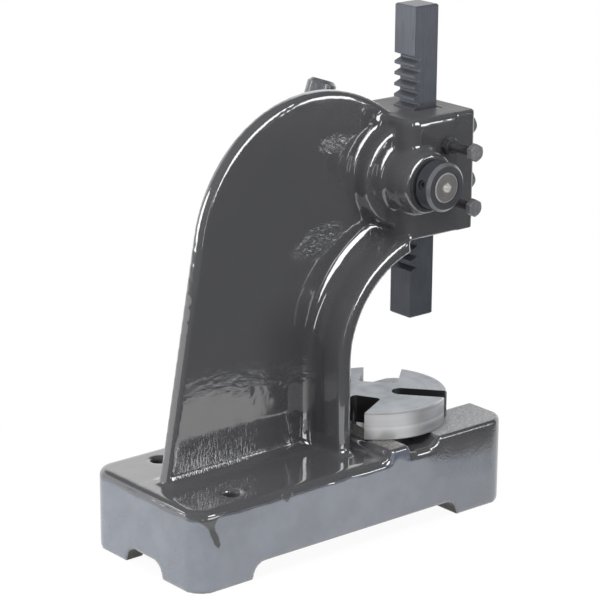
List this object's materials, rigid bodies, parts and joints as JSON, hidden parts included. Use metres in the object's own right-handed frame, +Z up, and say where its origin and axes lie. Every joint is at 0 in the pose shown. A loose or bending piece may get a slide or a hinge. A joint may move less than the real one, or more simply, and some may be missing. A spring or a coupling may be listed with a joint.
{
  "type": "rack arbor press",
  "caption": "Bench arbor press: C-shaped cast frame, square ram with a rack, pinion shaft with a sliding hand lever, and a loose slotted round table plate.",
  "frame": {"origin": "middle of the base, on the bench plane that the four feet stand on", "axes": "+Z up, -Y to the front where the work lies, +X to the side of the hand lever"},
  "size_m": [0.161, 0.254, 0.3247],
  "materials": {
    "enamel": "glossy dark grey enamel over a cast surface",
    "fastener_steel": "dark oiled steel",
    "washer_steel": "dark spring steel",
    "ram_steel": "ground steel with a blue-grey tone",
    "gib_brass": "plain machined",
    "shaft_steel": "turned steel",
    "black_oxide": "blue-black oxide",
    "bar_steel": "ground steel bar",
    "cap_black": "glossy black steel cap",
    "plate_steel": "machined grey steel"
  },
  "bodies": {
    "frame": {"frame_casting": "enamel", "front_cover": "enamel", "cover_bolt_upper_near": "fastener_steel", "cover_bolt_upper_far": "fastener_steel", "cover_bolt_lower_near": "fastener_steel", "cover_bolt_lower_far": "fastener_steel", "cover_washer_upper_near": "washer_steel", "cover_washer_upper_far": "washer_steel", "cover_washer_lower_near": "washer_steel", "cover_washer_lower_far": "washer_steel", "ram_gib": "gib_brass", "gib_bolt_upper": "fastener_steel", "gib_bolt_lower": "fastener_steel", "gib_lock_nut_upper": "fastener_steel", "gib_lock_nut_lower": "fastener_steel", "table_plate": "plate_steel"},
    "ram": {"ram": "ram_steel"},
    "pinion": {"pinion_shaft": "shaft_steel", "thrust_washer": "black_oxide", "retaining_collar": "black_oxide", "collar_set_screw": "black_oxide"},
    "lever": {"lever_bar": "bar_steel", "lever_cap_upper": "cap_black", "lever_cap_lower": "cap_black"}
  },
  "joints": [
    {"name": "ram_slide", "type": "slide", "parent": "frame", "child": "ram", "axis": [0, 0, 1], "range_m": [-0.046, 0.056]},
    {"name": "pinion_turn", "type": "hinge", "parent": "frame", "child": "pinion", "pos_m": [0, -0.06788, 0.22003], "axis": [1, 0, 0], "range_deg": [-237.5, 195]},
    {"name": "lever_slide", "type": "slide", "parent": "pinion", "child": "lever", "axis": [0, -0.342, 0.9397], "range_m": [0, 0.159]}
  ],
  "couplings": [
    {"joint": "ram_slide", "follows": "pinion_turn", "m_per_rad": -0.0135}
  ]
}
